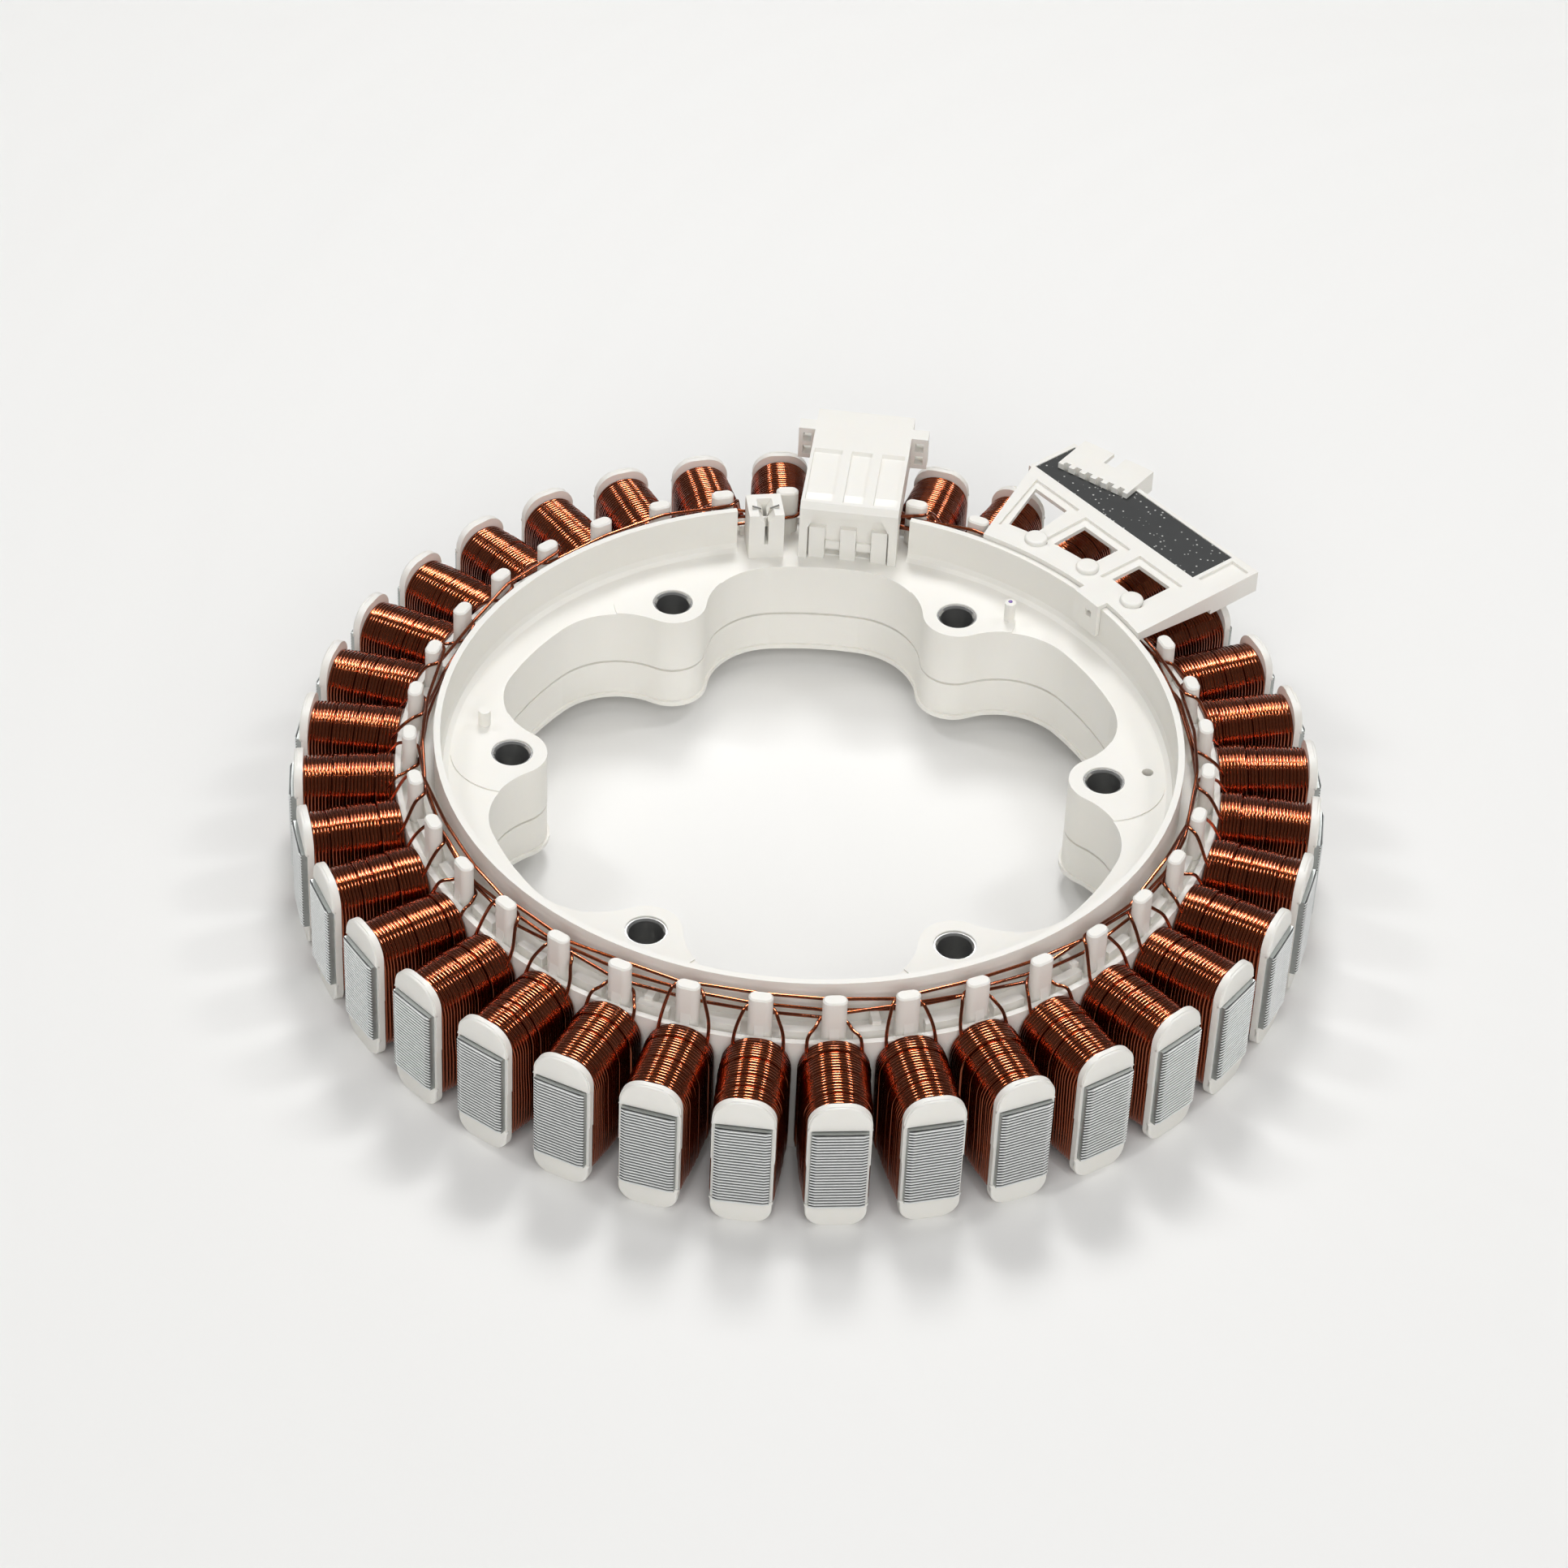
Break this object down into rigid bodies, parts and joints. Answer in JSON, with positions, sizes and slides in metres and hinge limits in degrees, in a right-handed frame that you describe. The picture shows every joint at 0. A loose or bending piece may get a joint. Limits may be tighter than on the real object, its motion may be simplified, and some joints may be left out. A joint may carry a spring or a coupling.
{
  "type": "wound motor stator",
  "caption": "Wound stator of an outer-rotor direct-drive motor: toothed steel core in white moulded insulators with copper coils, power connector and sensor holder.",
  "frame": {"origin": "centre of the bolt circle on the mounting face, which is the underside of the six bosses", "axes": "+Z along the motor axis, towards the side with the wire posts, power connector and sensor holder; +X through the middle of one mounting bush; the power connector lies near +Y"},
  "size_m": [0.2682, 0.2698, 0.0521],
  "materials": {
    "white_moulding": "satin moulded plastic",
    "enamelled_copper": "glossy brown enamel over copper wire",
    "core_steel": "bare lamination edges",
    "bush_steel": "turned steel",
    "tinned_brass": "tin plated",
    "potting_resin": "cast resin",
    "board_laminate": "circuit board",
    "sensor_package": "moulded package"
  },
  "bodies": {
    "root": {"lamination_core": "core_steel", "upper_insulator": "white_moulding", "lower_insulator": "white_moulding", "mounting_bushes": "bush_steel", "coil_01": "enamelled_copper", "coil_02": "enamelled_copper", "coil_03": "enamelled_copper", "coil_04": "enamelled_copper", "coil_05": "enamelled_copper", "coil_06": "enamelled_copper", "coil_07": "enamelled_copper", "coil_08": "enamelled_copper", "coil_09": "enamelled_copper", "coil_10": "enamelled_copper", "coil_11": "enamelled_copper", "coil_12": "enamelled_copper", "coil_13": "enamelled_copper", "coil_14": "enamelled_copper", "coil_15": "enamelled_copper", "coil_16": "enamelled_copper", "coil_17": "enamelled_copper", "coil_18": "enamelled_copper", "coil_19": "enamelled_copper", "coil_20": "enamelled_copper", "coil_21": "enamelled_copper", "coil_22": "enamelled_copper", "coil_23": "enamelled_copper", "coil_24": "enamelled_copper", "coil_25": "enamelled_copper", "coil_26": "enamelled_copper", "coil_27": "enamelled_copper", "coil_28": "enamelled_copper", "coil_29": "enamelled_copper", "coil_30": "enamelled_copper", "coil_31": "enamelled_copper", "coil_32": "enamelled_copper", "coil_33": "enamelled_copper", "coil_34": "enamelled_copper", "coil_35": "enamelled_copper", "coil_36": "enamelled_copper", "phase_wire_u": "enamelled_copper", "phase_wire_v": "enamelled_copper", "phase_wire_w": "enamelled_copper", "power_connector_housing": "white_moulding", "power_terminals": "tinned_brass", "star_terminal": "tinned_brass", "sensor_holder": "white_moulding", "sensor_board": "board_laminate", "hall_sensors": "sensor_package", "sensor_resin": "potting_resin", "sensor_connector": "white_moulding", "sensor_pins": "tinned_brass"}
  },
  "joints": []
}
